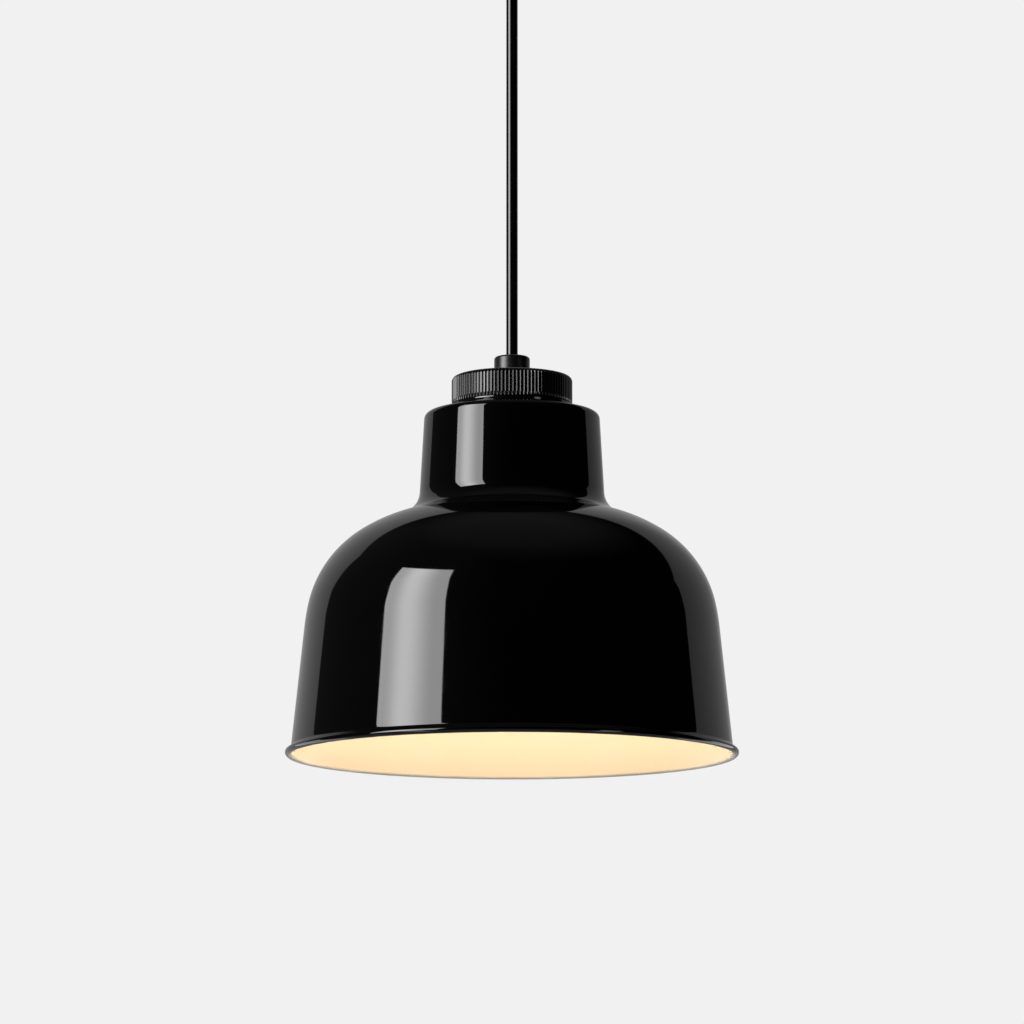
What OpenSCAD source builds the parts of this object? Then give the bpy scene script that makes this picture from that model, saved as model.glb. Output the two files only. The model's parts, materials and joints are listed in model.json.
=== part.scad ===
// Pendant ceiling light: a spun metal shade hung on a round flex, with a knurled fixing collar,
// an E27 lampholder and lamp, and a ceiling canopy with its bracket and wiring.
// Millimetres, +Z up. The origin is the centre of the ceiling plane.

/* [Drop] */
// Height from the ceiling down to the shade's rim
drop = 524.8; // [460:1:1500]

/* [Shade] */
// Outside diameter of the rolled rim
rim_d = 270.6; // [264:1:276]
// Height of the shade from rim to top plate
shade_h = 207.8; // [204:1:212]
// Sheet thickness
sheet_t = 1; // [0.8:0.1:1.2]
// Radius of the rolled bead at the rim
bead_r = 2.1; // [1.6:0.1:2.4]
// Slope of the lower wall, in degrees from vertical
wall_slope = 6; // [5:0.5:7]
// Length of the straight lower wall
wall_len = 75.7; // [72:1:78]
// Radius of the gentle arc above the wall
waist_r = 135; // [120:1:150]
// Slope at which the gentle arc ends
waist_end = 11.8; // [10:0.2:13]
// Radius of the main dome arc
dome_r = 68; // [66:0.5:70]
// Slope at which the main dome arc ends
dome_end = 57.3; // [56:0.1:59]
// Radius of the flatter arc below the neck
crown_r = 96; // [92:1:100]
// Radius of the hollow fillet where the dome meets the neck
neck_fillet = 15; // [13:0.5:17]
// Radius of the neck at its top edge, before rounding
neck_top_r = 52.7; // [51:0.1:54]
// Taper of the neck, in degrees from vertical
neck_taper = 3.25; // [2:0.25:4]
// Rounding of the neck's top edge
neck_round = 4; // [3:0.5:5]

/* [Collar] */
// Diameter over the ribs of the collar
collar_d = 72.8; // [70:0.1:76]
// Height of the collar above its washer
collar_h = 20.8; // [20:0.1:22]
// Thickness of the washer under the collar
washer_t = 1.2; // [1:0.1:1.5]
// Number of ribs round the collar
rib_count = 100; // [80:4:108]
// Radius of the groove between two ribs
groove_r = 0.75; // [0.5:0.05:0.8]
// Height of the plain band below the ribs
band_h = 4; // [3:0.5:5]
// Rounding of the collar's top edge
collar_round = 3; // [2:0.5:3.5]

/* [Hub] */
// Outside diameter of the hub's threaded spigot
spigot_d = 50; // [48:0.5:52]
// Height of the spigot above the shade's top plate
spigot_h = 14; // [13:0.5:15]
// Diameter of the flange that carries the shade
flange_d = 66; // [62:1:70]
// Thickness of the flange
flange_t = 3; // [2.5:0.5:3.5]
// Thickness of the gasket between flange and shade
gasket_t = 1.2; // [1:0.1:1.5]

/* [Flex and grip] */
// Diameter of the three-core flex
flex_d = 7; // [6.6:0.1:7.2]
// Diameter of one insulated core
core_d = 2.2; // [2:0.1:2.3]
// Diameter of the cord grip above the collar
grip_d = 21.5; // [20:0.5:23]
// Height of the cord grip's top above the shade's top plate
grip_top = 34.5; // [33:0.5:38]

/* [Lampholder] */
// Outside diameter of the lampholder
holder_d = 41; // [40.5:0.5:44]
// Distance from the shade's top plate down to the holder
holder_gap = 4; // [4:0.5:5]
// Length of the holder's cap
cap_len = 31; // [30.5:0.5:32]
// Length of the holder's body
body_len = 34; // [33:0.5:35]

/* [Lamp] */
// Diameter of the lamp's globe
globe_d = 60; // [58:1:62]
// Overall length of the lamp
lamp_len = 108; // [106:1:112]
// Thickness of the glass
glass_t = 0.9; // [0.7:0.1:1.2]

/* [Ceiling fitting] */
// Diameter of the ceiling canopy
canopy_d = 100; // [98:1:110]
// Depth of the canopy
canopy_h = 42; // [41:0.5:46]
// Sheet thickness of the canopy
canopy_t = 1.2; // [1:0.1:1.5]
// Rounding of the canopy's lower edge
canopy_round = 9; // [5:0.5:10]
// Distance between the two fixing slots
slot_spacing = 60; // [58:0.5:62]
// Width of each fixing slot
slot_w = 5; // [4.5:0.1:5.5]
// Length of each fixing slot
slot_len = 14; // [12:0.5:15]

/* [Hidden] */
$fn = 96;

// Close fit within one body, and free gap between bodies
fit = 0.05;
gap = 0.3;
// Overrun that keeps a cut clear of the face it opens
over = 1;

// Levels, all below the ceiling plane
z_rim = -drop;
z_plate = z_rim + shade_h;
z_grip = z_plate + grip_top;
z_spigot = z_plate + spigot_h;
z_flange = z_plate - sheet_t - gasket_t;
z_holder = z_plate - holder_gap;
z_cap_end = z_holder - cap_len;
z_body_end = z_cap_end - body_len;
z_canopy = -canopy_h;

// Flex, swing pivot and M10 tube
flex_r = flex_d / 2;
core_r = core_d / 2;
core_sides = 8;
z_pivot = z_canopy - 4;
pivot_gap = flex_r + gap;
z_sheath_top = z_canopy + 15;
z_sheath_end = z_holder - 13;
tube_r = 5;
tube_bore = flex_r + 0.25;
nut_af = 17;
nut_h = 4.5;

// Gland with its bell mouth, and the stop ring above it
bell_r = 10;
bell_h = 10;
bell_top_r = 4.2;
bell_mouth_r = 8.2;
lip_r = 0.9;
gland_spigot = 8;
stop_r = 8;
stop_h = 4.5;

// Bracket, screws, terminal block and earth tag
strip_w = 20;
strip_t = 2;
strip_end = 46;
tab_h = 22;
tab_screw_z = -14;
m4_r = 2;
m3_r = 1.5;
pan_h = 2.4;
block = [18, 16, 13];
pole_x = 4.8;
pole_z = -8.5;
insert_r = 2.4;
insert_bore = 1.5;
well_r = 1.9;
well_y = 4.6;
block_screw_y = 3.4;
earth_out = 15.5;
earth_turn = 20.8;
tag_t = 0.8;
tag_r = 3.5;
barrel_r = 1.6;
barrel_z = -4;
barrel_span = [19.8, 25.3];

// Hub and cord grip
hub_wall = 3;
hub_top = 4;
nipple_up = 8;
nipple_down = 25;
grub_z = z_grip - 5.5;
grub_len = 6;

// Lampholder, to E27 sizes
holder_r = holder_d / 2;
holder_wall = 1.6;
cap_neck_r = 8;
cap_neck_h = 7;
cap_round = 10;
ceramic_h = 10;
z_ceramic = z_cap_end + 2;
z_ceramic_end = z_ceramic - ceramic_h;
ledge_t = 4;
mouth_r = 14.8;
shell_r = 14.4;
shell_t = 0.4;
strip_brass = 0.5;
terminal = [7, 6, 6];
terminal_y = 9;
earth_block = [5.4, 7, 7];
earth_block_x = 15.3;
earth_block_z = z_cap_end + 7.5;
contact_gap = 0.1;

// Lamp, measured down from its contact
z_contact = z_ceramic_end - strip_brass - contact_gap;
lamp_cap_len = 27;
thread_from = 4.6;
thread_to = 22.7;
thread_turns = 5;
thread_mean = 12.8;
thread_wave = 0.4;
cap_skin = 0.4;
cap_collar_r = 13.9;
globe_r = globe_d / 2;
globe_neck_r = 13.2;
neck_end = 32;

// Points on an arc round centre c with radius r, from angle a to angle b
function arc(c, r, a, b, n) =
    [for (i = [0:n]) c + r * [cos(a + (b - a) * i / n), sin(a + (b - a) * i / n)]];

// Outward normal and upward direction of a wall that leans inwards by angle a
function lean_normal(a) = [cos(a), sin(a)];
function lean_up(a) = [-sin(a), cos(a)];

// Points of a list in the opposite order
function reversed(p) = [for (i = [len(p) - 1:-1:0]) p[i]];

// Shade meridian, as radius and height above the rim: straight wall, three dome arcs,
// hollow fillet and rounded neck. Each arc starts tangent to the one before.
bead_c = [rim_d / 2 - bead_r, bead_r];
wall_foot = bead_c - (bead_r - sheet_t) * lean_normal(wall_slope);
wall_head = wall_foot + wall_len * lean_up(wall_slope);
waist_c = wall_head - waist_r * lean_normal(wall_slope);
dome_c = waist_c + (waist_r - dome_r) * lean_normal(waist_end);
crown_c = dome_c + (dome_r - crown_r) * lean_normal(dome_end);

// The fillet touches the neck line and the crown arc from outside
fillet_top = [neck_top_r, shade_h] + neck_fillet * lean_normal(neck_taper) - crown_c;
fillet_run = fillet_top * lean_up(neck_taper);
fillet_reach = crown_r + neck_fillet;
fillet_shift = sqrt(fillet_run ^ 2 - fillet_top * fillet_top + fillet_reach ^ 2) - fillet_run;
fillet_c = crown_c + fillet_top + fillet_shift * lean_up(neck_taper);
crown_end = atan2(fillet_c[1] - crown_c[1], fillet_c[0] - crown_c[0]);
round_x = neck_top_r - neck_round * (1 - sin(neck_taper)) / cos(neck_taper);
round_c = [round_x, shade_h - neck_round];

// Points of the shade's skin from wall to top plate, moved inwards by d
function shade_skin(d) = concat(
    [wall_foot - d * lean_normal(wall_slope)],
    arc(waist_c, waist_r - d, wall_slope, waist_end, 3),
    arc(dome_c, dome_r - d, waist_end, dome_end, 16),
    arc(crown_c, crown_r - d, dome_end, crown_end, 6),
    arc(fillet_c, neck_fillet + d, 180 + crown_end, 180 + neck_taper, 14),
    arc(round_c, neck_round - d, neck_taper, 90, 8)
);

// Lamp globe: a hollow shoulder between the neck and the sphere
globe_z = lamp_len - globe_r;
shoulder_rise = globe_z - neck_end;
shoulder_step = globe_r - globe_neck_r;
shoulder_r = (shoulder_rise ^ 2 / shoulder_step - globe_r - globe_neck_r) / 2;
shoulder_x = globe_neck_r + shoulder_r;
shoulder_end = atan2(shoulder_rise, shoulder_x);

// Points of the globe's skin as radius and distance below the contact, moved inwards by d
function globe_skin(d) = concat(
    [[globe_neck_r - d, lamp_cap_len - 2]],
    arc([shoulder_x, neck_end], shoulder_r + d, 180, 180 - shoulder_end, 12),
    arc([0, globe_z], globe_r - d, -shoulder_end, 90, 24)
);

// Points of the lamp cap's thread, moved inwards by d
function thread_skin(d) = [
    for (i = [0:8 * thread_turns])
        [
            thread_mean - d - thread_wave * cos(45 * i),
            thread_from + (thread_to - thread_from) * i / (8 * thread_turns)
        ]
];

// Routes of the cores in the upright plane of each: distance from the axis, and height above
// the sheath's end
upper_line_route = [
    [2.35, 0], [2.35, 0.6], [2.8, 1.9], [4.4, 3.4], [6.8, 4.7], [9.5, 6.1], [11.7, 8.3], [12.8, 11.3],
    [13, 14.4], [12.3, 17], [10.8, 18.3], [9.4, 18.5]
];
upper_earth_route = [
    [2.35, 0], [2.35, 0.5], [3, 1.6], [5.2, 2.7], [8.8, 3], [13, 3], [18, 3.6], [23, 5.8], [27, 9.6],
    [29, 14.5], [29.2, 19], [28.2, 22], [26.6, 23], [25.3, 23]
];
lower_line_route = [
    [1.6, 0], [1.6, -0.6], [1.9, -1.8], [2.6, -3], [3.9, -4.3], [5.8, -5.4], [7.5, -6.6], [8.6, -8],
    [9, -9], [9, -10]
];
lower_earth_route = [
    [1.6, 0], [1.6, -0.5], [2, -1.6], [3.4, -2.9], [5.7, -3.8], [8.6, -3.5], [11.4, -2.7], [13.7, -2.8],
    [15, -3.9], [15.3, -5.5], [15.3, -7]
];
line_turn = atan2(-block[1] / 2, pole_x);

// Tangent of a route at point i
function route_dir(p, i) =
    let (d = p[min(i + 1, len(p) - 1)] - p[max(i - 1, 0)]) d / norm(d);

// Round tube along a flat route, swept in the XZ plane and turned about the axis
module core(route, turn, z) {
    ring = [
        for (i = [0:len(route) - 1])
            for (j = [0:core_sides - 1])
                let (t = route_dir(route, i), c = core_r * cos(360 * j / core_sides))
                    [
                        route[i][0] - c * t[1],
                        core_r * sin(360 * j / core_sides),
                        route[i][1] + c * t[0]
                    ]
    ];
    side = [
        for (i = [0:len(route) - 2])
            for (j = [0:core_sides - 1])
                let (a = i * core_sides, k = (j + 1) % core_sides)
                    [a + j, a + k, a + k + core_sides, a + j + core_sides]
    ];
    last = (len(route) - 1) * core_sides;
    foot = [for (j = [core_sides - 1:-1:0]) j];
    head = [for (j = [0:core_sides - 1]) last + j];
    rotate(turn)
        translate([0, 0, z])
            polyhedron(points = ring, faces = concat([foot], side, [head]));
}

// Plain ring or tube standing on z = 0
module tube(outer, inner, h) {
    difference() {
        cylinder(r = outer, h = h);
        translate([0, 0, -over])
            cylinder(r = inner, h = h + 2 * over);
    }
}

// Pan-head screw with a cross recess, head above z = 0 and shank below
module pan_screw(r, head, len) {
    difference() {
        union() {
            translate([0, 0, -len])
                cylinder(r = r, h = len + 0.5);
            rotate_extrude()
                polygon(concat([[0, 0], [head, 0]], arc([head - 1.4, pan_h - 1.4], 1.4, 0, 90, 6), [[0, pan_h]]));
        }
        for (a = [0, 90])
            rotate(a)
                translate([-head * 0.6, -0.35, pan_h - 1.2])
                    cube([head * 1.2, 0.7, 2]);
    }
}

// Headless screw with a slot, from z = 0 down
module grub_screw(r, len) {
    difference() {
        translate([0, 0, -len])
            cylinder(r = r, h = len);
        translate([-r - over, -0.3, -1])
            cube([2 * (r + over), 0.6, 2]);
    }
}

// Hexagon nut with a round bore, standing on z = 0
module hex_nut(af, bore, h) {
    difference() {
        intersection() {
            cylinder(r = af / 2 / cos(30), h = h, $fn = 6);
            translate([0, 0, -0.35 * h])
                cylinder(r1 = af / 2 - 0.4 * h, r2 = af / 2 + 1.2 * h, h = 1.6 * h);
            translate([0, 0, -0.25 * h])
                cylinder(r1 = af / 2 + 1.2 * h, r2 = af / 2 - 0.4 * h, h = 1.6 * h);
        }
        translate([0, 0, -over])
            cylinder(r = bore, h = h + 2 * over);
    }
}

// Rounded slot through the strip, along X
module slot_cut(x) {
    half = (slot_len - slot_w) / 2;
    translate([x, 0, -strip_t - over]) {
        for (s = [-half, half])
            translate([s, 0, 0])
                cylinder(r = slot_w / 2, h = strip_t + 2 * over);
        translate([-half, -slot_w / 2, 0])
            cube([2 * half, slot_w, strip_t + 2 * over]);
    }
}

// Steel strip screwed to the ceiling, with a bent tab at each end for the canopy
module ceiling_bracket() {
    color("silver")
        difference() {
            union() {
                translate([-strip_end, -strip_w / 2, -strip_t])
                    cube([2 * strip_end, strip_w, strip_t]);
                for (x = [-strip_end, strip_end - strip_t])
                    translate([x, -strip_w / 2, -tab_h])
                        cube([strip_t, strip_w, tab_h]);
            }
            for (x = [-slot_spacing / 2, slot_spacing / 2])
                slot_cut(x);
            for (x = [-strip_end - over, strip_end - strip_t - over])
                translate([x, 0, tab_screw_z])
                    rotate([0, 90, 0])
                        cylinder(r = m4_r + fit, h = strip_t + 2 * over);
            translate([0, block_screw_y, -strip_t - over])
                cylinder(r = m3_r + fit, h = strip_t + 2 * over);
            rotate(earth_turn)
                translate([earth_out, 0, -strip_t - over])
                    cylinder(r = m4_r + fit, h = strip_t + 2 * over);
        }
}

// Two-pole terminal block under the strip
module terminal_block() {
    color("ivory")
        difference() {
            translate([-block[0] / 2, -block[1] / 2, -strip_t - block[2]])
                cube(block);
            for (x = [-pole_x, pole_x]) {
                translate([x, -block[1] / 2 - over, pole_z])
                    rotate([-90, 0, 0])
                        cylinder(r = insert_r + fit, h = block[1] + 2 * over);
                for (y = [-well_y, well_y])
                    translate([x, y, -strip_t - block[2] - over])
                        cylinder(r = well_r, h = block[2] / 2 + over);
            }
            translate([0, block_screw_y, -strip_t - block[2] - over])
                cylinder(r = m3_r + fit, h = block[2] + 2 * over);
        }
}

// Brass tubes that join the wires inside the block
module terminal_inserts() {
    color("gold")
        for (x = [-pole_x, pole_x])
            difference() {
                translate([x, 1 - block[1] / 2, pole_z])
                    rotate([-90, 0, 0])
                        cylinder(r = insert_r, h = block[1] - 2);
                translate([x, -block[1] / 2, pole_z])
                    rotate([-90, 0, 0])
                        cylinder(r = insert_bore, h = block[1]);
                for (y = [-well_y, well_y])
                    translate([x, y, pole_z - insert_r - over])
                        cylinder(r = m3_r - 0.2 + fit, h = insert_r + over);
            }
}

// Clamping screws in the block's wells
module terminal_screws() {
    color("silver")
        for (x = [-pole_x, pole_x])
            for (y = [-well_y, well_y])
                translate([x, y, pole_z - insert_bore / 2 - 4.5])
                    rotate([180, 0, 0])
                        grub_screw(m3_r - 0.2, 4.5);
}

// Screw that holds the block to the strip
module block_screw() {
    color("silver")
        translate([0, block_screw_y, -strip_t - block[2]])
            rotate([180, 0, 0])
                pan_screw(m3_r, 2.6, block[2] + strip_t - 0.2);
}

// Screw that holds the earth tag to the strip
module earth_screw() {
    color("gold")
        rotate(earth_turn)
            translate([earth_out, 0, -strip_t - tag_t])
                rotate([180, 0, 0])
                    pan_screw(m4_r, 3.2, strip_t + tag_t - 0.2);
}

// Ring tag crimped on the upper earth core
module earth_tag() {
    color("gold")
        rotate(earth_turn)
            difference() {
                union() {
                    translate([earth_out, 0, -strip_t - tag_t])
                        cylinder(r = tag_r, h = tag_t);
                    translate([earth_out, -1.4, -strip_t - tag_t])
                        cube([barrel_span[0] - earth_out + 2, 2.8, tag_t]);
                    translate([barrel_span[0], 0, barrel_z])
                        rotate([0, 90, 0])
                            cylinder(r = barrel_r, h = barrel_span[1] - barrel_span[0]);
                }
                translate([earth_out, 0, -strip_t - tag_t - over])
                    cylinder(r = m4_r + fit, h = tag_t + 2 * over);
            }
}

// Cup that covers the bracket and wiring
module canopy() {
    r = canopy_d / 2;
    corner = [r - canopy_round, z_canopy + canopy_round];
    color([0.06, 0.06, 0.06])
        difference() {
            rotate_extrude()
                polygon(concat(
                    [[tube_r + 0.15, z_canopy]],
                    arc(corner, canopy_round, -90, 0, 12),
                    [[r, 0], [r - canopy_t, 0]],
                    arc(corner, canopy_round - canopy_t, 0, -90, 12),
                    [[tube_r + 0.15, z_canopy + canopy_t]]
                ));
            translate([-r - over, 0, tab_screw_z])
                rotate([0, 90, 0])
                    cylinder(r = m4_r + 0.2, h = 2 * (r + over));
        }
}

// Two screws through the canopy's sides into the bracket's tabs
module canopy_screws() {
    color([0.1, 0.1, 0.1])
        for (a = [0, 180])
            rotate(a)
                translate([canopy_d / 2, 0, tab_screw_z])
                    rotate([0, 90, 0])
                        pan_screw(m4_r, 3.6, 10);
}

// Threaded gland with a bell mouth that lets the flex swing
module canopy_gland() {
    lip_c = [bell_mouth_r + lip_r, z_pivot - bell_h + lip_r];
    color([0.12, 0.12, 0.12])
        rotate_extrude()
            polygon(concat(
                [[tube_bore, z_canopy + gland_spigot], [tube_bore, z_pivot + 1]],
                [[bell_top_r, z_pivot]],
                arc(lip_c, lip_r, 202, 360, 10),
                [[bell_r, z_canopy - 1], [bell_r - 1, z_canopy]],
                [[tube_r - fit, z_canopy], [tube_r - fit, z_canopy + gland_spigot]]
            ));
}

// Washer between the canopy's floor and the locknut
module gland_washer() {
    color("silver")
        translate([0, 0, z_canopy + canopy_t])
            tube(9, tube_r + fit, 1);
}

// Nut that locks the gland to the canopy
module gland_locknut() {
    color("silver")
        translate([0, 0, z_canopy + canopy_t + 1])
            hex_nut(nut_af - 2, tube_r, nut_h);
}

// Ring clamped on the flex, which rests on the gland and carries the weight
module flex_stop() {
    color("ivory")
        translate([0, 0, z_canopy + gland_spigot])
            difference() {
                tube(stop_r, flex_r + fit, stop_h);
                translate([0, 0, stop_h / 2])
                    rotate([-90, 0, 0])
                        cylinder(r = 1.2 + fit, h = stop_r + over);
            }
}

// Grub screw in the stop ring
module flex_stop_screw() {
    color("silver")
        translate([0, stop_r - 0.2, z_canopy + gland_spigot + stop_h / 2])
            rotate([-90, 0, 0])
                grub_screw(1.2, stop_r - flex_r - 0.4);
}

// Upper end of the flex, fixed in the gland
module flex_tail() {
    z = z_pivot + pivot_gap;
    color([0.04, 0.04, 0.04])
        translate([0, 0, z])
            cylinder(r = flex_r, h = z_sheath_top - z);
}

module upper_live_core() {
    color("saddlebrown")
        core(upper_line_route, 180 - line_turn, z_sheath_top);
}

module upper_neutral_core() {
    color("royalblue")
        core(upper_line_route, line_turn, z_sheath_top);
}

module upper_earth_core() {
    color("yellowgreen")
        core(upper_earth_route, earth_turn, z_sheath_top);
}

// Short stretch of flex that bends in the bell mouth
module flex_bend() {
    color([0.04, 0.04, 0.04])
        translate([0, 0, z_pivot])
            sphere(r = flex_r - fit);
}

// Hanging flex, from the bell mouth down into the lampholder
module flex() {
    color([0.04, 0.04, 0.04])
        translate([0, 0, z_sheath_end])
            cylinder(r = flex_r, h = z_pivot - pivot_gap - z_sheath_end);
}

// Turned bush that clamps the flex above the collar
module cord_grip() {
    r = grip_d / 2;
    color([0.12, 0.12, 0.12])
        difference() {
            rotate_extrude()
                polygon(concat(
                    [[flex_r + 0.1, z_grip - 1], [flex_r + 0.1, z_spigot + nipple_up + 0.5]],
                    [[tube_r + fit, z_spigot + nipple_up + 0.5], [tube_r + fit, z_spigot]],
                    [[r, z_spigot]],
                    arc([r - 1.8, z_grip - 1.8], 1.8, 0, 90, 6),
                    [[flex_r + 1.1, z_grip]]
                ));
            translate([0, 0, grub_z])
                rotate([-90, 0, 0])
                    cylinder(r = m3_r + fit, h = r + over);
        }
}

// Grub screw at the back of the cord grip
module grip_screw() {
    color("silver")
        translate([0, flex_r + 0.15 + grub_len, grub_z])
            rotate([-90, 0, 0])
                grub_screw(m3_r, grub_len);
}

// Hollow M10 tube that joins grip, hub and lampholder
module nipple() {
    color("gold")
        translate([0, 0, z_spigot - nipple_down])
            tube(tube_r, tube_bore, nipple_down + nipple_up);
}

// Turned hub: its flange carries the shade, and its spigot takes the collar
module hub() {
    r = spigot_d / 2;
    color("silver")
        rotate_extrude()
            polygon([
                [r - hub_wall, z_flange - flange_t], [flange_d / 2, z_flange - flange_t],
                [flange_d / 2, z_flange], [r, z_flange],
                [r, z_spigot - 0.8], [r - 0.8, z_spigot],
                [tube_r + fit, z_spigot], [tube_r + fit, z_spigot - hub_top],
                [r - hub_wall, z_spigot - hub_top]
            ]);
}

// Nut below the hub's top
module hub_nut() {
    color("gold")
        translate([0, 0, z_spigot - hub_top - nut_h])
            hex_nut(nut_af, tube_r + fit, nut_h);
}

// Gasket between the hub's flange and the shade
module shade_gasket() {
    color([0.15, 0.15, 0.15])
        translate([0, 0, z_flange])
            tube(flange_d / 2, spigot_d / 2 + fit, gasket_t);
}

// Spun shade with a rolled bead at the rim
module shade() {
    hole = spigot_d / 2 + 0.5;
    color([0.05, 0.05, 0.05])
        translate([0, 0, z_rim])
            rotate_extrude() {
                polygon(concat(
                    shade_skin(0),
                    [[hole, shade_h], [hole, shade_h - sheet_t]],
                    reversed(shade_skin(sheet_t))
                ));
                translate(bead_c)
                    circle(r = bead_r);
            }
}

// Washer that the collar turns on
module collar_washer() {
    color([0.15, 0.15, 0.15])
        translate([0, 0, z_plate])
            tube(collar_d / 2 - 1.4, spigot_d / 2 + gap, washer_t);
}

// Collar that screws down on the hub and clamps the shade
module knurled_collar() {
    r = collar_d / 2;
    bore = spigot_d / 2 + gap;
    color([0.12, 0.12, 0.12])
        translate([0, 0, z_plate + washer_t])
            difference() {
                rotate_extrude()
                    polygon(concat(
                        [[bore, 0], [r - 1, 0], [r - 1, band_h], [r, band_h]],
                        arc([r - collar_round, collar_h - collar_round], collar_round, 0, 90, 8),
                        [[grip_d / 2 + gap, collar_h], [grip_d / 2 + gap, collar_h - hub_top]],
                        [[bore, collar_h - hub_top]]
                    ));
                for (i = [0:rib_count - 1])
                    rotate(360 * i / rib_count)
                        translate([r + groove_r / 3, 0, band_h])
                            cylinder(r = groove_r, h = collar_h, $fn = 16);
            }
}

// Domed cap of the lampholder, screwed on the nipple
module holder_cap() {
    corner = [holder_r - cap_round, z_holder - cap_neck_h - cap_round];
    inner = cap_round - holder_wall;
    color([0.12, 0.12, 0.12])
        difference() {
            rotate_extrude()
                polygon(concat(
                    [[tube_r + fit, z_holder], [cap_neck_r, z_holder]],
                    [[cap_neck_r, z_holder - cap_neck_h]],
                    arc(corner, cap_round, 90, 0, 10),
                    [[holder_r, z_cap_end], [holder_r - holder_wall, z_cap_end]],
                    arc(corner, inner, 0, 90, 10),
                    [[tube_r + fit, corner[1] + inner]]
                ));
            translate([0, 0, earth_block_z])
                rotate([0, 90, 0])
                    cylinder(r = m3_r + fit, h = holder_r + over);
        }
}

// Sleeve of the lampholder, with a ledge below the ceramic and a wide mouth
module holder_body() {
    color([0.12, 0.12, 0.12])
        rotate_extrude()
            polygon([
                [holder_r - holder_wall, z_cap_end], [holder_r, z_cap_end],
                [holder_r, z_body_end + 1.5], [holder_r - 1.5, z_body_end],
                [mouth_r + 0.8, z_body_end], [mouth_r, z_body_end + 0.8],
                [mouth_r, z_ceramic_end], [holder_r - holder_wall, z_ceramic_end]
            ]);
}

// Ceramic insert that carries the contacts
module holder_insert() {
    r = holder_r - holder_wall - fit;
    color("white")
        difference() {
            translate([0, 0, z_ceramic_end])
                cylinder(r = r, h = ceramic_h);
            translate([0, 0, z_ceramic_end - over])
                cylinder(r = m3_r + fit, h = ceramic_h + 2 * over);
            translate([0, 0, z_ceramic - 2])
                tube(6, 3, 2 + over);
        }
}

// Brass terminals on top of the ceramic
module holder_terminals() {
    color("gold")
        for (a = [90, 270])
            rotate(a)
                difference() {
                    translate([terminal_y - terminal[1] / 2, -terminal[0] / 2, z_ceramic])
                        cube([terminal[1], terminal[0], terminal[2]]);
                    translate([terminal_y, 0, z_ceramic + terminal[2] / 2])
                        rotate([0, 90, 0])
                            cylinder(r = m3_r - 0.2 + fit, h = terminal[1]);
                }
}

// Screws of the two terminals
module holder_terminal_screws() {
    color("silver")
        for (a = [90, 270])
            rotate(a)
                translate([terminal_y + terminal[1] / 2, 0, z_ceramic + terminal[2] / 2])
                    rotate([0, 90, 0])
                        pan_screw(m3_r - 0.2, 2.3, terminal[1] / 2 - 0.2);
}

// Thin brass shell that the lamp screws into
module screw_shell() {
    z = z_ceramic_end - strip_brass;
    color("gold") {
        difference() {
            translate([0, 0, z_body_end + ledge_t])
                cylinder(r = shell_r, h = z_ceramic_end - z_body_end - ledge_t);
            translate([0, 0, z_body_end])
                cylinder(r = shell_r - shell_t, h = z - z_body_end);
            translate([0, 0, z - over])
                cylinder(r = 10, h = 4 * over);
        }
    }
}

// Sprung contact and its rivet
module centre_contact() {
    color("gold") {
        translate([0, 0, z_ceramic_end - strip_brass])
            cylinder(r = m3_r, h = ceramic_h + strip_brass + 0.4);
        translate([-6, -2.5, z_ceramic_end - strip_brass])
            cube([12, 5, strip_brass]);
        translate([0, 0, z_ceramic])
            cylinder(r = 2.6, h = 0.8);
    }
}

// Earth terminal on the inside of the holder's cap
module holder_earth_block() {
    color("gold")
        difference() {
            translate([earth_block_x - earth_block[0] / 2, -earth_block[1] / 2, earth_block_z - earth_block[2] / 2])
                cube(earth_block);
            translate([earth_block_x - 1, 0, earth_block_z])
                rotate([0, 90, 0])
                    cylinder(r = m3_r + fit, h = earth_block[0]);
        }
}

// Screw through the cap into the earth terminal
module holder_earth_screw() {
    color("gold")
        translate([holder_r, 0, earth_block_z])
            rotate([0, 90, 0])
                pan_screw(m3_r, 2.8, 5.8);
}

module lower_live_core() {
    color("saddlebrown")
        core(lower_line_route, 90, z_sheath_end);
}

module lower_neutral_core() {
    color("royalblue")
        core(lower_line_route, 270, z_sheath_end);
}

module lower_earth_core() {
    color("yellowgreen")
        core(lower_earth_route, 0, z_sheath_end);
}

// Places a lamp part whose heights run down from the contact
module below_contact() {
    translate([0, 0, z_contact])
        mirror([0, 0, 1])
            children();
}

// Opal glass envelope
module lamp_globe() {
    color([1, 0.97, 0.9])
        below_contact()
            rotate_extrude()
                polygon(concat(globe_skin(0), reversed(globe_skin(glass_t))));
}

// Glass stem that seals the neck and carries the filaments
module lamp_stem() {
    color("lightcyan")
        below_contact()
            rotate_extrude()
                polygon(concat(
                    [[0, 26], [12, 26], [12, 27]],
                    arc([12, 33], 6, 270, 180, 8),
                    [[6, 40], [2.5, 44], [2.5, 62]],
                    arc([0, 62], 2.5, 0, 90, 6)
                ));
}

// Four filament sticks on wires round the stem
module lamp_filaments() {
    color("orange")
        below_contact()
            for (a = [45:90:315])
                rotate(a) {
                    translate([9, 0, 50])
                        rotate([0, 8, 0])
                            cylinder(r = 0.9, h = 36);
                    translate([0, 0, 64.9])
                        rotate([0, 86, 0])
                            cylinder(r = 0.3, h = 10.4);
                }
}

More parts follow.
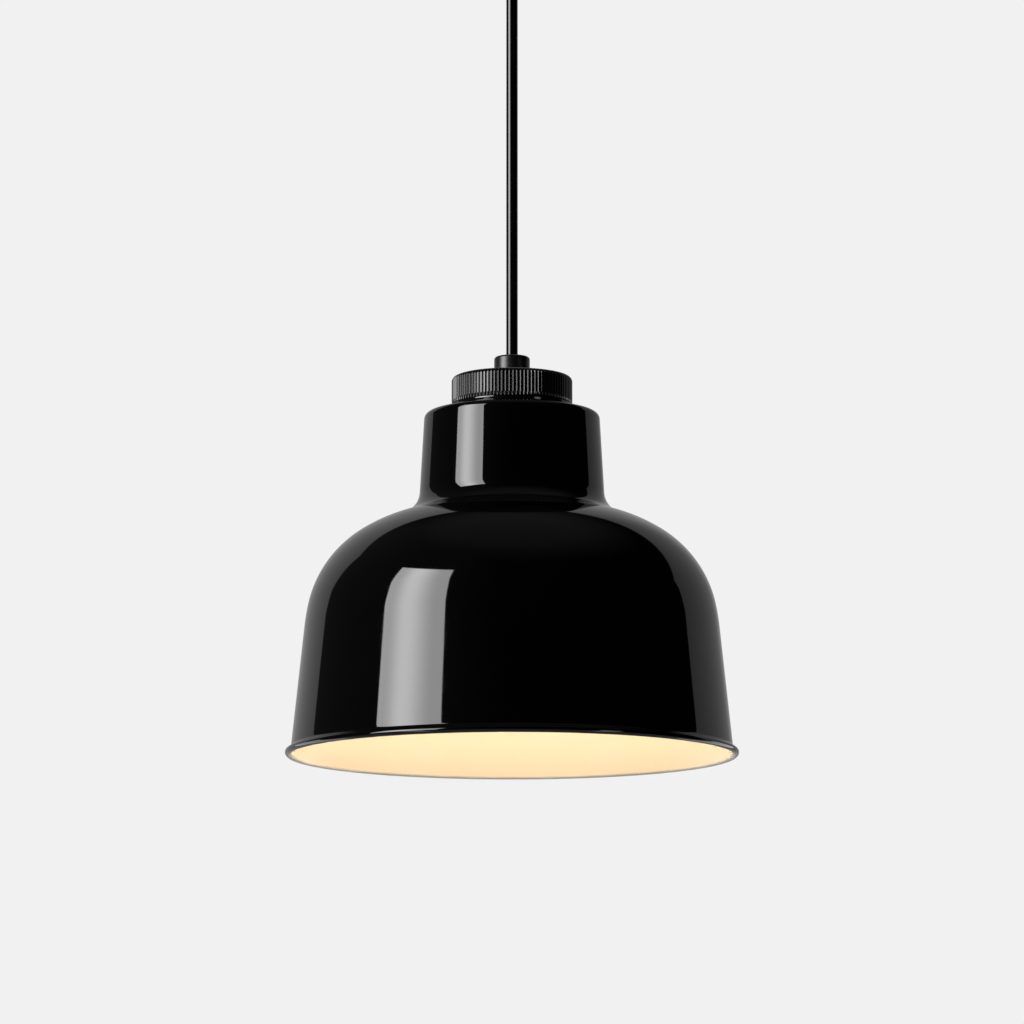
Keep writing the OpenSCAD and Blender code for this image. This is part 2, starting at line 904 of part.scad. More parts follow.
// Threaded cap of the lamp
module lamp_cap() {
    color("silver")
        below_contact()
            rotate_extrude()
                polygon(concat(
                    [[11, thread_from]],
                    thread_skin(0),
                    [[cap_collar_r, thread_to + 1.3], [cap_collar_r, lamp_cap_len]],
                    [[globe_neck_r + 0.1, lamp_cap_len], [globe_neck_r + 0.1, thread_to + 2.3]],
                    [[thread_mean - thread_wave - cap_skin, thread_to]],
                    reversed(thread_skin(cap_skin)),
                    [[11, thread_from + cap_skin]]
                ));
}

// Black glass between the thread and the contact
module lamp_insulator() {
    color([0.1, 0.1, 0.1])
        below_contact()
            translate([0, 0, 1.2])
                cylinder(r1 = 5.2, r2 = 11, h = thread_from - 1.2);
}

// Centre contact of the lamp
module lamp_contact() {
    color("silver")
        below_contact()
            cylinder(r1 = 3.8, r2 = 4.8, h = 1.2);
}

ceiling_bracket();
terminal_block();
terminal_inserts();
terminal_screws();
block_screw();
earth_screw();
earth_tag();
canopy();
canopy_screws();
canopy_gland();
gland_washer();
gland_locknut();
flex_stop();
flex_stop_screw();
flex_tail();
upper_live_core();
upper_neutral_core();
upper_earth_core();
flex_bend();
flex();
cord_grip();
grip_screw();
nipple();
hub();
hub_nut();
shade_gasket();
shade();
collar_washer();
knurled_collar();
holder_cap();
holder_body();
holder_insert();
holder_terminals();
holder_terminal_screws();
screw_shell();
centre_contact();
holder_earth_block();
holder_earth_screw();
lower_live_core();
lower_neutral_core();
lower_earth_core();
lamp_globe();
lamp_stem();
lamp_filaments();
lamp_cap();
lamp_insulator();
lamp_contact();
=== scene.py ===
"""Looks of the pendant ceiling light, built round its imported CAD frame.

Lengths are in metres and angles in degrees. A point of a profile is a complex number: its real
part is the distance from the lamp's vertical axis, and its imaginary part is the height.
"""

import json
import math

import bpy
import numpy as np
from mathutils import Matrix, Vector


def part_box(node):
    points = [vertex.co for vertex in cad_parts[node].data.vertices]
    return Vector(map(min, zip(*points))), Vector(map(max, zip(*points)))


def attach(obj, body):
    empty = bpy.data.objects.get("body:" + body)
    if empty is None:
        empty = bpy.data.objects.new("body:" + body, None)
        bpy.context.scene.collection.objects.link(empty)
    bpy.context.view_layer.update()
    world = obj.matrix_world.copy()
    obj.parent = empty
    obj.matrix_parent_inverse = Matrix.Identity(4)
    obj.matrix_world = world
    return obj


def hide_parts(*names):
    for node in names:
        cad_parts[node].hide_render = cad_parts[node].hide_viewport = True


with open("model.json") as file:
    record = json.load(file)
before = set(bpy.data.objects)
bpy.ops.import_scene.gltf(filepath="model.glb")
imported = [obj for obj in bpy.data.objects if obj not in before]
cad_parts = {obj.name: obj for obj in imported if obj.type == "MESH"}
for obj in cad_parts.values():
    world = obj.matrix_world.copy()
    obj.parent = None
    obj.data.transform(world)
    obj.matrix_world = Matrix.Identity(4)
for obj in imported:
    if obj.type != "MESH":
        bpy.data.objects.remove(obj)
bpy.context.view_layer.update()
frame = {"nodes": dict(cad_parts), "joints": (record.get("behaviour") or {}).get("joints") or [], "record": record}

# Faces of the shade and the collar that rest on the washer are drawn this far from it
SEAT_GAP = 0.00005
RIM_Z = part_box("shade")[0].z
PLATE_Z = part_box("shade")[1].z - SEAT_GAP
RIM_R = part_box("shade")[1].x
# Where the flex bends, in the mouth of the gland
PIVOT = Vector(next(j["pos_m"] for j in frame["joints"] if j["name"] == "swing_front"))

# ---------------------------------------------------------------- camera


def make_camera():
    """Stands back from the lamp and below its rim, and looks slightly up."""
    distance, below_rim, pitch, lens = 2.981, 0.3168, 8.856, 176.6
    data = bpy.data.cameras.new("camera")
    data.lens = lens
    data.sensor_width = 36.0
    data.clip_start = 0.05
    data.clip_end = 60.0
    camera = bpy.data.objects.new("camera", data)
    bpy.context.scene.collection.objects.link(camera)
    camera.location = (0.0, -distance, RIM_Z - below_rim)
    camera.rotation_euler = (math.radians(90 + pitch), 0.0, 0.0)
    bpy.context.scene.camera = camera


make_camera()

# ---------------------------------------------------------------- node helpers


def add_node(tree, kind, **settings):
    """A new node of a kind in a node tree, with its settings."""
    made = tree.nodes.new(kind)
    for key, value in settings.items():
        setattr(made, key, value)
    return made


def smooth_range(tree, socket, start, end, low, high):
    """Low where the socket is start, high where it is end, and smooth between."""
    ranged = add_node(tree, "ShaderNodeMapRange", interpolation_type="SMOOTHSTEP")
    ranged.inputs["From Min"].default_value = start
    ranged.inputs["From Max"].default_value = end
    ranged.inputs["To Min"].default_value = low
    ranged.inputs["To Max"].default_value = high
    tree.links.new(socket, ranged.inputs["Value"])
    return ranged.outputs["Result"]


class Finish:
    """A Principled material and the few nodes that give it variation over the surface."""

    def __init__(self, name, **values):
        self.material = bpy.data.materials.new(name)
        self.material.use_nodes = True
        self.tree = self.material.node_tree
        self.bsdf = self.tree.nodes["Principled BSDF"]
        for key, value in values.items():
            self.bsdf.inputs[key.replace("_", " ").title().replace("Ior", "IOR")].default_value = value

    def node(self, kind, **settings):
        return add_node(self.tree, kind, **settings)

    def noise(self, scale, detail=3.0, stretch=(1.0, 1.0, 1.0)):
        """Noise over the object, with scale features a metre, stretched along an axis."""
        coordinates = self.node("ShaderNodeTexCoord")
        mapping = self.node("ShaderNodeMapping")
        mapping.inputs["Scale"].default_value = stretch
        texture = self.node("ShaderNodeTexNoise")
        texture.inputs["Scale"].default_value = scale
        texture.inputs["Detail"].default_value = detail
        self.tree.links.new(coordinates.outputs["Object"], mapping.inputs["Vector"])
        self.tree.links.new(mapping.outputs["Vector"], texture.inputs["Vector"])
        return texture.outputs["Fac"]

    def roughness(self, socket, low, high, start=0.3, end=0.7):
        """Roughness from low, where the socket is start, to high, where it is end."""
        varied = smooth_range(self.tree, socket, start, end, low, high)
        self.tree.links.new(varied, self.bsdf.inputs["Roughness"])

    def colours(self, socket, first, second, start=0.3, end=0.7):
        """Colour from first, where the socket is start, to second, where it is end."""
        mix = self.node("ShaderNodeMix", data_type="RGBA")
        mix.inputs["A"].default_value = (*first, 1.0)
        mix.inputs["B"].default_value = (*second, 1.0)
        share = smooth_range(self.tree, socket, start, end, 0.0, 1.0)
        self.tree.links.new(share, mix.inputs["Factor"])
        self.tree.links.new(mix.outputs["Result"], self.bsdf.inputs["Base Color"])

    def bump(self, *layers):
        """Layers of (socket, height in metres), each on top of the one before."""
        below = None
        for socket, height in layers:
            bump = self.node("ShaderNodeBump")
            bump.inputs["Strength"].default_value = 1.0
            bump.inputs["Distance"].default_value = height
            self.tree.links.new(socket, bump.inputs["Height"])
            if below:
                self.tree.links.new(below, bump.inputs["Normal"])
            below = bump.outputs["Normal"]
        self.tree.links.new(below, self.bsdf.inputs["Normal"])


# ---------------------------------------------------------------- materials


def gloss_black(name):
    """Stoved black enamel: deep gloss, faint orange peel and the slow waves of spun sheet."""
    f = Finish(name, ior=1.5)
    f.colours(f.noise(14), (0.0004, 0.0004, 0.0004), (0.0009, 0.0009, 0.0009))
    f.roughness(f.noise(40, 5), 0.022, 0.05)
    f.bump((f.noise(26, 1), 0.00005), (f.noise(420, 2), 0.0000016))
    return f.material


def cream_enamel(name):
    """Warm white enamel inside the shade."""
    f = Finish(name, ior=1.5)
    f.colours(f.noise(6, 1), (0.745, 0.72, 0.64), (0.76, 0.735, 0.655), 0.2, 0.8)
    f.roughness(f.noise(60, 4), 0.3, 0.4)
    f.bump((f.noise(500, 2), 0.000004))
    return f.material


def satin_black(name, low, high):
    """Fine-textured black finish on turned metal."""
    f = Finish(name, ior=1.6)
    f.colours(f.noise(60, 4), (0.001, 0.001, 0.001), (0.0025, 0.0025, 0.0025))
    f.roughness(f.noise(160, 5), low, high)
    f.bump((f.noise(1800, 2), 0.0000004))
    return f.material


def sheath(name):
    """Black PVC, smooth and shiny, with faint draw lines along it."""
    f = Finish(name, ior=1.52)
    f.colours(f.noise(90, 4), (0.001, 0.001, 0.001), (0.003, 0.003, 0.003))
    f.roughness(f.noise(300, 5, (1.0, 1.0, 0.1)), 0.04, 0.09)
    f.bump((f.noise(120, 2, (1.0, 1.0, 0.05)), 0.000006))
    return f.material


def metal(name, first, second, low, high):
    """Bare or plated metal with fine tool marks and uneven shine."""
    f = Finish(name, metallic=1.0)
    f.colours(f.noise(70, 5), first, second)
    f.roughness(f.noise(350, 6), low, high)
    f.bump((f.noise(1600, 3), 0.000005))
    return f.material


def moulded(name, first, second, low=0.35, high=0.5):
    """Moulded or extruded plastic and rubber."""
    f = Finish(name, ior=1.46)
    f.colours(f.noise(80, 4), first, second)
    f.roughness(f.noise(260, 4), low, high)
    f.bump((f.noise(1400, 3), 0.000008))
    return f.material


def ceramic(name):
    """White glazed porcelain with a slightly uneven glaze."""
    f = Finish(name, ior=1.54)
    f.colours(f.noise(60, 3), (0.78, 0.77, 0.73), (0.86, 0.86, 0.83))
    f.roughness(f.noise(200, 3), 0.12, 0.22)
    f.bump((f.noise(300, 2), 0.00002))
    return f.material


def earth_stripe(name):
    """Green insulation with a yellow stripe that winds round it."""
    f = Finish(name, ior=1.46)
    wave = f.node("ShaderNodeTexWave", wave_type="BANDS", bands_direction="DIAGONAL")
    wave.inputs["Scale"].default_value = 90.0
    wave.inputs["Distortion"].default_value = 0.4
    coordinates = f.node("ShaderNodeTexCoord")
    f.tree.links.new(coordinates.outputs["Object"], wave.inputs["Vector"])
    f.colours(wave.outputs["Fac"], (0.05, 0.26, 0.03), (0.7, 0.56, 0.03), 0.48, 0.52)
    f.roughness(f.noise(260, 4), 0.3, 0.42)
    f.bump((f.noise(1400, 3), 0.000006))
    return f.material


def opal_glass(name):
    """Opal glass of a lit lamp, which glows less towards its neck."""
    low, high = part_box("lamp_globe")
    f = Finish(name, ior=1.5)
    f.colours(f.noise(40, 3), (0.86, 0.83, 0.76), (0.92, 0.9, 0.84))
    f.roughness(f.noise(120, 3), 0.1, 0.2)
    f.bump((f.noise(90, 2), 0.00001))
    place = f.node("ShaderNodeTexCoord")
    split = f.node("ShaderNodeSeparateXYZ")
    f.tree.links.new(place.outputs["Object"], split.inputs["Vector"])
    strength = smooth_range(f.tree, split.outputs["Z"], low.z, high.z, 26.0, 1.0)
    f.tree.links.new(strength, f.bsdf.inputs["Emission Strength"])
    f.bsdf.inputs["Emission Color"].default_value = (1.0, 0.72, 0.462, 1.0)
    return f.material


def clear_glass(name):
    """Thin clear glass of the stem."""
    f = Finish(name, ior=1.5, transmission_weight=1.0)
    f.colours(f.noise(80, 2), (0.9, 0.94, 0.93), (0.97, 0.98, 0.98))
    f.roughness(f.noise(200, 3), 0.02, 0.06)
    f.bump((f.noise(260, 2), 0.000006))
    return f.material


def glowing(name):
    """Phosphor-coated filament sticks."""
    f = Finish(name)
    f.colours(f.noise(900, 3), (0.85, 0.5, 0.08), (0.95, 0.65, 0.16))
    f.roughness(f.noise(900, 3), 0.5, 0.7)
    f.bump((f.noise(2400, 2), 0.00002))
    f.bsdf.inputs["Emission Color"].default_value = (1.0, 0.72, 0.36, 1.0)
    f.bsdf.inputs["Emission Strength"].default_value = 6.0
    return f.material


MATERIALS = {
    "shade_enamel": gloss_black("shade_enamel"),
    "gloss_black_enamel": gloss_black("gloss_black_enamel"),
    "satin_black": satin_black("satin_black", 0.3, 0.36),
    "black_screw": metal("black_screw", (0.02, 0.02, 0.021), (0.035, 0.035, 0.036), 0.3, 0.45),
    "flex_sheath": sheath("flex_sheath"),
    "zinc_steel": metal("zinc_steel", (0.55, 0.56, 0.57), (0.68, 0.68, 0.67), 0.25, 0.45),
    "brass": metal("brass", (0.66, 0.47, 0.18), (0.8, 0.6, 0.27), 0.18, 0.36),
    "cast_alloy": metal("cast_alloy", (0.5, 0.5, 0.51), (0.62, 0.62, 0.63), 0.3, 0.5),
    "ivory_plastic": moulded("ivory_plastic", (0.68, 0.63, 0.5), (0.78, 0.73, 0.6)),
    "washer_nylon": moulded("washer_nylon", (0.012, 0.012, 0.012), (0.022, 0.022, 0.022)),
    "live_core": moulded("live_core", (0.13, 0.045, 0.015), (0.19, 0.07, 0.025), 0.28, 0.4),
    "neutral_core": moulded("neutral_core", (0.015, 0.09, 0.4), (0.03, 0.13, 0.5), 0.28, 0.4),
    "earth_core": earth_stripe("earth_core"),
    "gasket_rubber": moulded("gasket_rubber", (0.012, 0.012, 0.012), (0.03, 0.03, 0.03), 0.6, 0.8),
    "holder_black": moulded("holder_black", (0.01, 0.009, 0.008), (0.02, 0.018, 0.016), 0.2, 0.32),
    "glazed_ceramic": ceramic("glazed_ceramic"),
    "opal_glass": opal_glass("opal_glass"),
    "clear_glass": clear_glass("clear_glass"),
    "filament": glowing("filament"),
    "nickel": metal("nickel", (0.66, 0.64, 0.58), (0.76, 0.74, 0.69), 0.15, 0.3),
    "black_glass": moulded("black_glass", (0.004, 0.004, 0.004), (0.009, 0.009, 0.009), 0.06, 0.12),
    "solder": metal("solder", (0.5, 0.5, 0.5), (0.66, 0.66, 0.67), 0.3, 0.5),
}
CREAM = cream_enamel("cream_enamel")

# Every CAD node gets its material. The shade's gloss doesn't mirror what is fixed at the ceiling.
for part in frame["record"]["subparts"]:
    cad = frame["nodes"][part["node"]]
    cad.data.materials.clear()
    cad.data.materials.append(MATERIALS[part["material_slot"]])
    if part["node"] in frame["record"]["behaviour"]["bodies"]["ceiling"]:
        cad.visible_glossy = False

# ---------------------------------------------------------------- shapes


def heading(degrees):
    """Unit vector at an angle above the horizontal."""
    return complex(math.cos(math.radians(degrees)), math.sin(math.radians(degrees)))


def arc(centre, radius, start, end, step):
    """Points on an arc, at most step degrees apart."""
    count = max(2, math.ceil(abs(end - start) / step))
    return [centre + radius * heading(start + (end - start) * i / count) for i in range(count + 1)]


def line(a, b, count):
    """Points from a to b, both included."""
    return [a + (b - a) * i / count for i in range(count + 1)]


def joined(*runs):
    """Runs of points end to end, without repeated points."""
    out = []
    for p in (p for run in runs for p in run):
        if not out or abs(out[-1] - p) > 1e-6:
            out.append(p)
    return out


def lathe(name, profile, turns=256, closed=False, zone=None, carve=None, sharp=40.0):
    """Surface of revolution of a profile that keeps the solid on its left.

    zone gives the material index of the segment that starts at point i, and carve gives how far
    point i is sunk below the surface at each angle.
    """
    angles = np.arange(turns) * 2 * math.pi / turns
    count = len(profile)
    verts, rings, faces, zones = [], [], [], []
    for i, p in enumerate(profile):
        if p.real < 1e-6:
            rings.append([len(verts)] * turns)
            verts.append((0.0, 0.0, p.imag))
            continue
        ahead = profile[(i + 1) % count] if closed or i + 1 < count else p
        behind = profile[i - 1] if closed or i else p
        outward = -1j * (ahead - behind) / abs(ahead - behind)
        sunk = carve(i, angles) if carve else np.zeros(turns)
        radii = p.real - outward.real * sunk
        heights = p.imag - outward.imag * sunk
        rings.append(range(len(verts), len(verts) + turns))
        verts.extend(zip(radii * np.cos(angles), radii * np.sin(angles), heights))
    for i in range(count if closed else count - 1):
        low, high = rings[i], rings[(i + 1) % count]
        for j in range(turns):
            k = (j + 1) % turns
            faces.append(tuple(dict.fromkeys((low[j], low[k], high[k], high[j]))))
            zones.append(zone(i) if zone else 0)
    mesh = bpy.data.meshes.new(name)
    mesh.from_pydata([tuple(map(float, v)) for v in verts], [], faces)
    mesh.polygons.foreach_set("material_index", zones)
    mesh.polygons.foreach_set("use_smooth", [True] * len(faces))
    mesh.set_sharp_from_angle(angle=math.radians(sharp))
    piece = bpy.data.objects.new(name, mesh)
    bpy.context.scene.collection.objects.link(piece)
    return piece


def stands_for(piece, body, node, *materials):
    """The piece replaces a CAD node, moves with its body and takes the materials it is given."""
    for material in materials:
        piece.data.materials.append(material)
    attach(piece, body)
    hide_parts(node)


# ---------------------------------------------------------------- flex

FLEX_R = (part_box("flex")[1].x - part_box("flex")[0].x) / 2
FLEX_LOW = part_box("flex")[0].z
FLEX_LENGTH = PIVOT.z - FLEX_LOW


def make_flex():
    """The hanging flex, from the pivot in the gland's mouth down into the lampholder."""
    curve = bpy.data.curves.new("hanging_flex", "CURVE")
    curve.dimensions = "3D"
    curve.bevel_depth = FLEX_R
    curve.bevel_resolution = 14
    curve.use_fill_caps = True
    spline = curve.splines.new("POLY")
    count = 24
    spline.points.add(count)
    for i, point in enumerate(spline.points):
        point.co = (0.0, 0.0, PIVOT.z - FLEX_LENGTH * i / count, 1.0)
    flex = bpy.data.objects.new("hanging_flex", curve)
    bpy.context.scene.collection.objects.link(flex)
    stands_for(flex, "pendant", "flex", MATERIALS["flex_sheath"])
    flex.visible_glossy = False


make_flex()

# ---------------------------------------------------------------- shade

# Thickness of the sheet, radius of the rolled bead at the rim, and how far the wall leans inwards
SHEET = 0.001
BEAD_R = 0.0021
WALL_SLOPE = 6.0
BEAD = complex(RIM_R - BEAD_R, RIM_Z + BEAD_R)


def shade_skin(inset):
    """The shade's skin from the foot of its wall to its top plate, moved inwards by inset.

    Above the straight wall come three convex arcs, the waist, dome and crown, then a fillet, the
    straight neck and a rounded corner, all tangent. waist_end, dome_end and taper are the angles
    of the outward normal above the horizontal.
    """
    wall_h, neck_r = 0.0757, 0.0527
    waist_end, dome_end, taper = 11.8, 57.3, 3.25
    waist_r, dome_r, crown_r, fillet_r, round_r = 0.135, 0.068, 0.096, 0.015, 0.004
    foot = BEAD - (BEAD_R - SHEET) * heading(WALL_SLOPE)
    head = foot + wall_h * 1j * heading(WALL_SLOPE)
    waist = head - waist_r * heading(WALL_SLOPE)
    dome = waist + (waist_r - dome_r) * heading(waist_end)
    crown = dome + (dome_r - crown_r) * heading(dome_end)
    neck_top = complex(neck_r, PLATE_Z)
    above = neck_top + fillet_r * heading(taper) - crown
    run = (above * (1j * heading(taper)).conjugate()).real
    shift = math.sqrt(run ** 2 - abs(above) ** 2 + (crown_r + fillet_r) ** 2) - run
    fillet = crown + above + shift * 1j * heading(taper)
    crown_end = math.degrees(math.atan2((fillet - crown).imag, (fillet - crown).real))
    tilt = math.radians(taper)
    corner = neck_top - complex(round_r * (1 - math.sin(tilt)) / math.cos(tilt), round_r)
    moved = inset * heading(WALL_SLOPE)
    neck_low = fillet - (fillet_r + inset) * heading(taper)
    neck_high = corner + (round_r - inset) * heading(taper)
    return joined(
        line(foot - moved, head - moved, 24),
        arc(waist, waist_r - inset, WALL_SLOPE, waist_end, 0.6),
        arc(dome, dome_r - inset, waist_end, dome_end, 0.6),
        arc(crown, crown_r - inset, dome_end, crown_end, 0.6),
        arc(fillet, fillet_r + inset, 180 + crown_end, 180 + taper, 1.5),
        line(neck_low, neck_high, 16),
        arc(corner, round_r - inset, taper, 90, 3),
    )


def make_shade():
    """Spun shade: black skin and rolled bead outside, cream enamel inside.

    A fillet joins the bead to the wall, and the cream ends just short of the bead's lowest point.
    """
    hole, fillet_r, clear, cream_end = 0.0255, 0.0022, 0.0005, -88.0
    outer, inner = shade_skin(0.0), shade_skin(SHEET)
    beside_wall = fillet_r - (BEAD_R - SHEET)
    bead_top = WALL_SLOPE + math.degrees(math.acos(beside_wall / (BEAD_R + fillet_r)))
    fillet = BEAD + (BEAD_R + fillet_r) * heading(bead_top)
    bead_black = arc(BEAD, BEAD_R, cream_end, bead_top, 5)
    bead_fillet = arc(fillet, fillet_r, bead_top - 180, WALL_SLOPE - 180, 5)
    bead_cream = arc(BEAD, BEAD_R, WALL_SLOPE - 180, cream_end, 5)
    above_fillet = [p for p in outer if p.imag > bead_fillet[-1].imag + clear]
    hole_edge = [complex(hole, PLATE_Z), complex(hole, PLATE_Z - SHEET)]
    black = joined(bead_black, bead_fillet, above_fillet, hole_edge)
    cream = joined(list(reversed(inner)), bead_cream)
    shade = lathe("spun_shade", black + cream[:-1], turns=384, closed=True,
                  zone=lambda i: 0 if i < len(black) - 1 else 1)
    stands_for(shade, "pendant", "shade", MATERIALS["shade_enamel"], CREAM)


make_shade()

# ---------------------------------------------------------------- collar, canopy, gland and globe


def make_collar():
    """Collar with a plain band at its foot and close ribs that run over its rounded top edge."""
    low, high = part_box("knurled_collar")
    ribs, turns_per_rib, depth, narrowness, fading = 100, 20, 0.0006, 2.6, 8
    r, bore, plate, round_r, chamfer = high.x, 0.0253, 0.004, 0.003, 0.0004
    band_h, band_in, band_edge, undercut = 0.004, 0.001, 0.0003, 0.0002
    play, hole_edge, flat = 0.0003, 0.0003, 0.001
    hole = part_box("cord_grip")[1].x + play
    corner = complex(r - round_r, high.z - round_r)
    foot = complex(r - band_in, low.z + SEAT_GAP)
    band = [foot + band_edge * 1j, foot + (band_h - undercut) * 1j]
    ribbed = joined(
        [complex(r - chamfer, low.z + band_h)],
        line(complex(r, low.z + band_h + chamfer), complex(r, corner.imag), 6),
        arc(corner, round_r, 0, 90, 6),
    )
    inside = [complex(hole + flat, high.z), complex(hole + hole_edge, high.z),
              complex(hole, high.z - hole_edge), complex(hole, high.z - plate),
              complex(bore, high.z - plate), complex(bore, foot.imag)]
    profile = joined([foot - band_edge], band, ribbed, inside)
    first = profile.index(ribbed[0])
    last = first + len(ribbed) - 1

    def carve(i, angles):
        """Grooves between the ribs, which fade out over the last few points of the top edge."""
        if not first < i < last:
            return np.zeros(len(angles))
        fade = min(1.0, (last - i) / fading)
        return depth * fade * (0.5 + 0.5 * np.cos(ribs * angles)) ** narrowness

    collar = lathe("ribbed_collar", profile, turns=ribs * turns_per_rib, closed=True, carve=carve,
                   sharp=50)
    stands_for(collar, "knurled_collar", "knurled_collar", satin_black("collar_black", 0.08, 0.13))


def make_canopy():
    """Cup with a rounded lower edge, open to the ceiling."""
    low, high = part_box("canopy")
    r, sheet, round_r, hole, flat = high.x, 0.0012, 0.009, 0.00515, 0.002
    corner = complex(r - round_r, low.z + round_r)
    outside = joined(
        [complex(hole, low.z)],
        line(complex(hole + flat, low.z), corner - round_r * 1j, 6),
        arc(corner, round_r, -90, 0, 2),
        line(complex(r, corner.imag), complex(r, high.z), 8),
    )
    inside = joined(
        [complex(r - sheet, high.z)],
        arc(corner, round_r - sheet, 0, -90, 3),
        [complex(hole, low.z + sheet)],
    )
    canopy = lathe("ceiling_canopy", outside + inside, closed=True)
    stands_for(canopy, "ceiling", "canopy", MATERIALS["gloss_black_enamel"])
    canopy.visible_glossy = False


def make_gland():
    """Turned gland whose mouth flares round the flex."""
    low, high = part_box("canopy_gland")
    play, spigot = 0.00025, 0.00495
    r, seat, bore = high.x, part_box("canopy")[0].z, FLEX_R + play
    lip_r, lip_start, mouth, throat_r, throat_h = 0.0009, 202, 0.0082, 0.0042, 0.001
    barrel_h, edge = 0.008, 0.001
    lip = complex(mouth + lip_r, low.z + lip_r)
    profile = joined(
        arc(lip, lip_r, lip_start, 360, 9),
        line(complex(r, seat - barrel_h), complex(r, seat - edge), 3),
        [complex(r - edge, seat), complex(spigot, seat)],
        [complex(spigot, high.z), complex(bore, high.z)],
        [complex(bore, PIVOT.z + throat_h), complex(throat_r, PIVOT.z)],
    )
    gland = lathe("bell_gland", profile, turns=128, closed=True)
    stands_for(gland, "ceiling", "canopy_gland", MATERIALS["satin_black"])
    gland.visible_glossy = False


def make_globe():
    """Lamp envelope: sphere, hollow shoulder and neck, as one open shell with a real wall."""
    low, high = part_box("lamp_globe")
    globe_r, neck_r, glass, neck_len = high.x, 0.0132, 0.0009, 0.007
    centre = complex(0.0, low.z + globe_r)
    rise = high.z - neck_len - centre.imag
    shoulder_r = (rise ** 2 / (globe_r - neck_r) - globe_r - neck_r) / 2
    shoulder = complex(neck_r + shoulder_r, centre.imag + rise)
    touch = math.degrees(math.atan2(rise, shoulder.real))

    def skin(inset):
        return joined(
            arc(centre, globe_r - inset, -90, touch, 2),
            arc(shoulder, shoulder_r + inset, 180 + touch, 180, 2),
            [complex(neck_r - inset, high.z)],
        )

    globe = lathe("opal_globe", joined(skin(0.0), list(reversed(skin(glass)))), turns=128)
    stands_for(globe, "lamp", "lamp_globe", MATERIALS["opal_glass"])


make_collar()
make_canopy()
make_gland()
make_globe()

# ---------------------------------------------------------------- studio


def make_floor():
    """Plain pale floor, as far below the lamp as in a room, bright enough to blend with the wall."""
    drop, half, glow = 2.0, 60.0, 0.55
    sides = ((-half, -half), (half, -half), (half, half), (-half, half))
    mesh = bpy.data.meshes.new("floor")
    mesh.from_pydata([(x, y, RIM_Z - drop) for x, y in sides], [], [(0, 1, 2, 3)])
    floor = bpy.data.objects.new("floor", mesh)
    bpy.context.scene.collection.objects.link(floor)
    f = Finish("pale_floor", ior=1.0)
    f.colours(f.noise(2, 3), (0.78, 0.78, 0.775), (0.8, 0.8, 0.795))
    f.roughness(f.noise(5, 3), 0.7, 0.8)
    f.bump((f.noise(60, 2), 0.00005))
    f.bsdf.inputs["Emission Color"].default_value = (1.0, 1.0, 1.0, 1.0)
    f.bsdf.inputs["Emission Strength"].default_value = glow
    mesh.materials.append(f.material)
    floor.visible_glossy = False
    floor.visible_diffuse = False


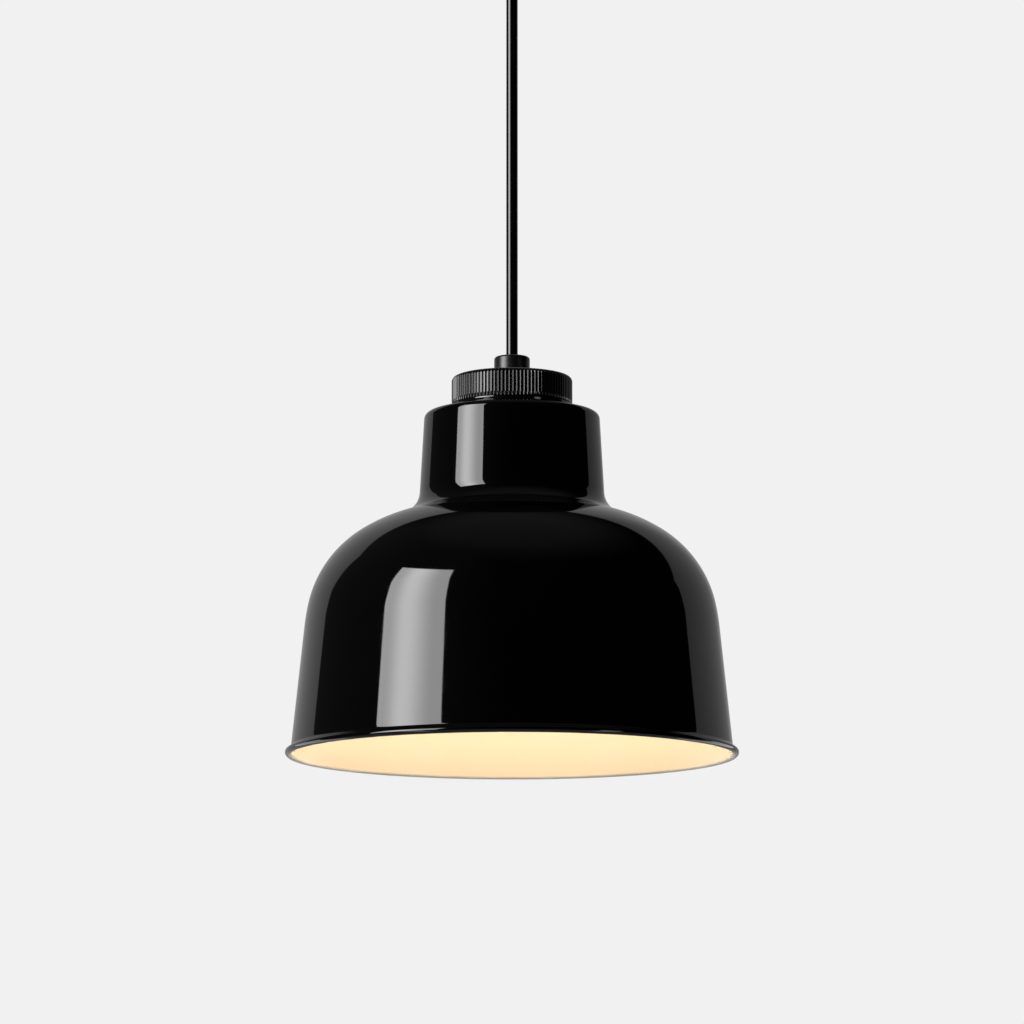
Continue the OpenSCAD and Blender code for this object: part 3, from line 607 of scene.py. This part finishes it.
def make_world():
    """White to the camera. Everything else sees a dark studio.

    It has one tall softbox at the left of the camera, a grey backdrop behind the lamp, a dim
    ceiling, a little spill at the left, light that the floor sends back, and four low softboxes,
    which show mostly in what is seen from the sides, the back and above. An azimuth of 0 is on the
    camera's side and grows to its left.
    """
    wall_white = (0.883, 0.88, 0.883, 1.0)
    to_degrees = 180 / math.pi
    world = bpy.data.worlds.new("studio")
    bpy.context.scene.world = world
    world.use_nodes = True
    tree = world.node_tree
    tree.nodes.clear()

    def node(kind, **settings):
        return add_node(tree, kind, **settings)

    def calculate(operation, *values):
        """Sockets and numbers combined by Math nodes, two at a time, or one socket on its own."""
        result = values[0]
        for value in values[1:] or (None,):
            made = node("ShaderNodeMath", operation=operation)
            for socket, given in zip(made.inputs, (result, value)):
                if isinstance(given, (int, float)):
                    socket.default_value = given
                elif given is not None:
                    tree.links.new(given, socket)
            result = made.outputs[0]
        return result

    def between(value, start, end, low, high):
        return smooth_range(tree, value, start, end, low, high)

    def window(value, start, end, soft):
        """1 from start to end and 0 outside, with soft edges."""
        return calculate("MULTIPLY", between(value, start - soft, start, 0.0, 1.0),
                         between(value, end, end + soft, 1.0, 0.0))

    coordinates = node("ShaderNodeTexCoord")
    split = node("ShaderNodeSeparateXYZ")
    tree.links.new(coordinates.outputs["Generated"], split.inputs["Vector"])
    x, y, z = split.outputs
    turn = calculate("ARCTAN2", calculate("MULTIPLY", x, -1.0), calculate("MULTIPLY", y, -1.0))
    azimuth = calculate("MULTIPLY", turn, to_degrees)
    elevation = calculate("MULTIPLY", calculate("ARCSINE", z), to_degrees)

    glow = calculate("MINIMUM", between(azimuth, 43.0, 60.0, 7.9, 14.0),
                     between(azimuth, 61.0, 73.0, 14.0, 8.6))
    softbox = calculate("MULTIPLY", glow, window(azimuth, 38.0, 75.5, 0.6),
                        window(elevation, 4.0, 38.5, 0.8))

    # The backdrop is a flat sheet, so it is laid out in distances across and above, not angles
    ahead = calculate("MAXIMUM", y, 0.001)
    across = calculate("DIVIDE", x, ahead)
    above = calculate("DIVIDE", z, ahead)
    backdrop = calculate("MULTIPLY", window(across, -1.28, 2.3, 0.03),
                         between(above, 1.15, 1.25, 1.0, 0.0),
                         between(across, 0.1, 0.5, 0.52, 0.33),
                         between(y, 0.02, 0.05, 0.0, 1.0))

    ceiling = between(elevation, 42.0, 75.0, 0.0, 0.1)
    spill = calculate("MULTIPLY", between(azimuth, 0.0, 45.0, 0.006, 0.05),
                      between(azimuth, 130.0, 170.0, 1.0, 0.1))
    # The low softboxes: first and last azimuth, and strength
    strips = (
        (-150.0, -122.0, 2.2),
        (-56.0, -46.0, 2.0),
        (46.0, 56.0, 2.0),
        (114.0, 142.0, 2.2),
    )
    around = calculate("MAXIMUM", *(calculate("MULTIPLY", window(azimuth, start, end, 1.5), strength)
                                    for start, end, strength in strips))
    low = calculate("MULTIPLY", around, window(elevation, -42.0, 1.0, 2.0))
    ground = between(elevation, -32.0, -18.0, 0.4, 0.0)
    studio = calculate("MAXIMUM", softbox, backdrop, ceiling, spill, low, ground)

    dark = node("ShaderNodeBackground")
    tree.links.new(studio, dark.inputs["Strength"])
    plain = node("ShaderNodeBackground")
    plain.inputs["Color"].default_value = wall_white
    path = node("ShaderNodeLightPath")
    mix = node("ShaderNodeMixShader")
    out = node("ShaderNodeOutputWorld")
    tree.links.new(path.outputs["Is Camera Ray"], mix.inputs["Fac"])
    tree.links.new(dark.outputs["Background"], mix.inputs[1])
    tree.links.new(plain.outputs["Background"], mix.inputs[2])
    tree.links.new(mix.outputs["Shader"], out.inputs["Surface"])


make_floor()
make_world()
bpy.context.scene.view_settings.view_transform = "Standard"
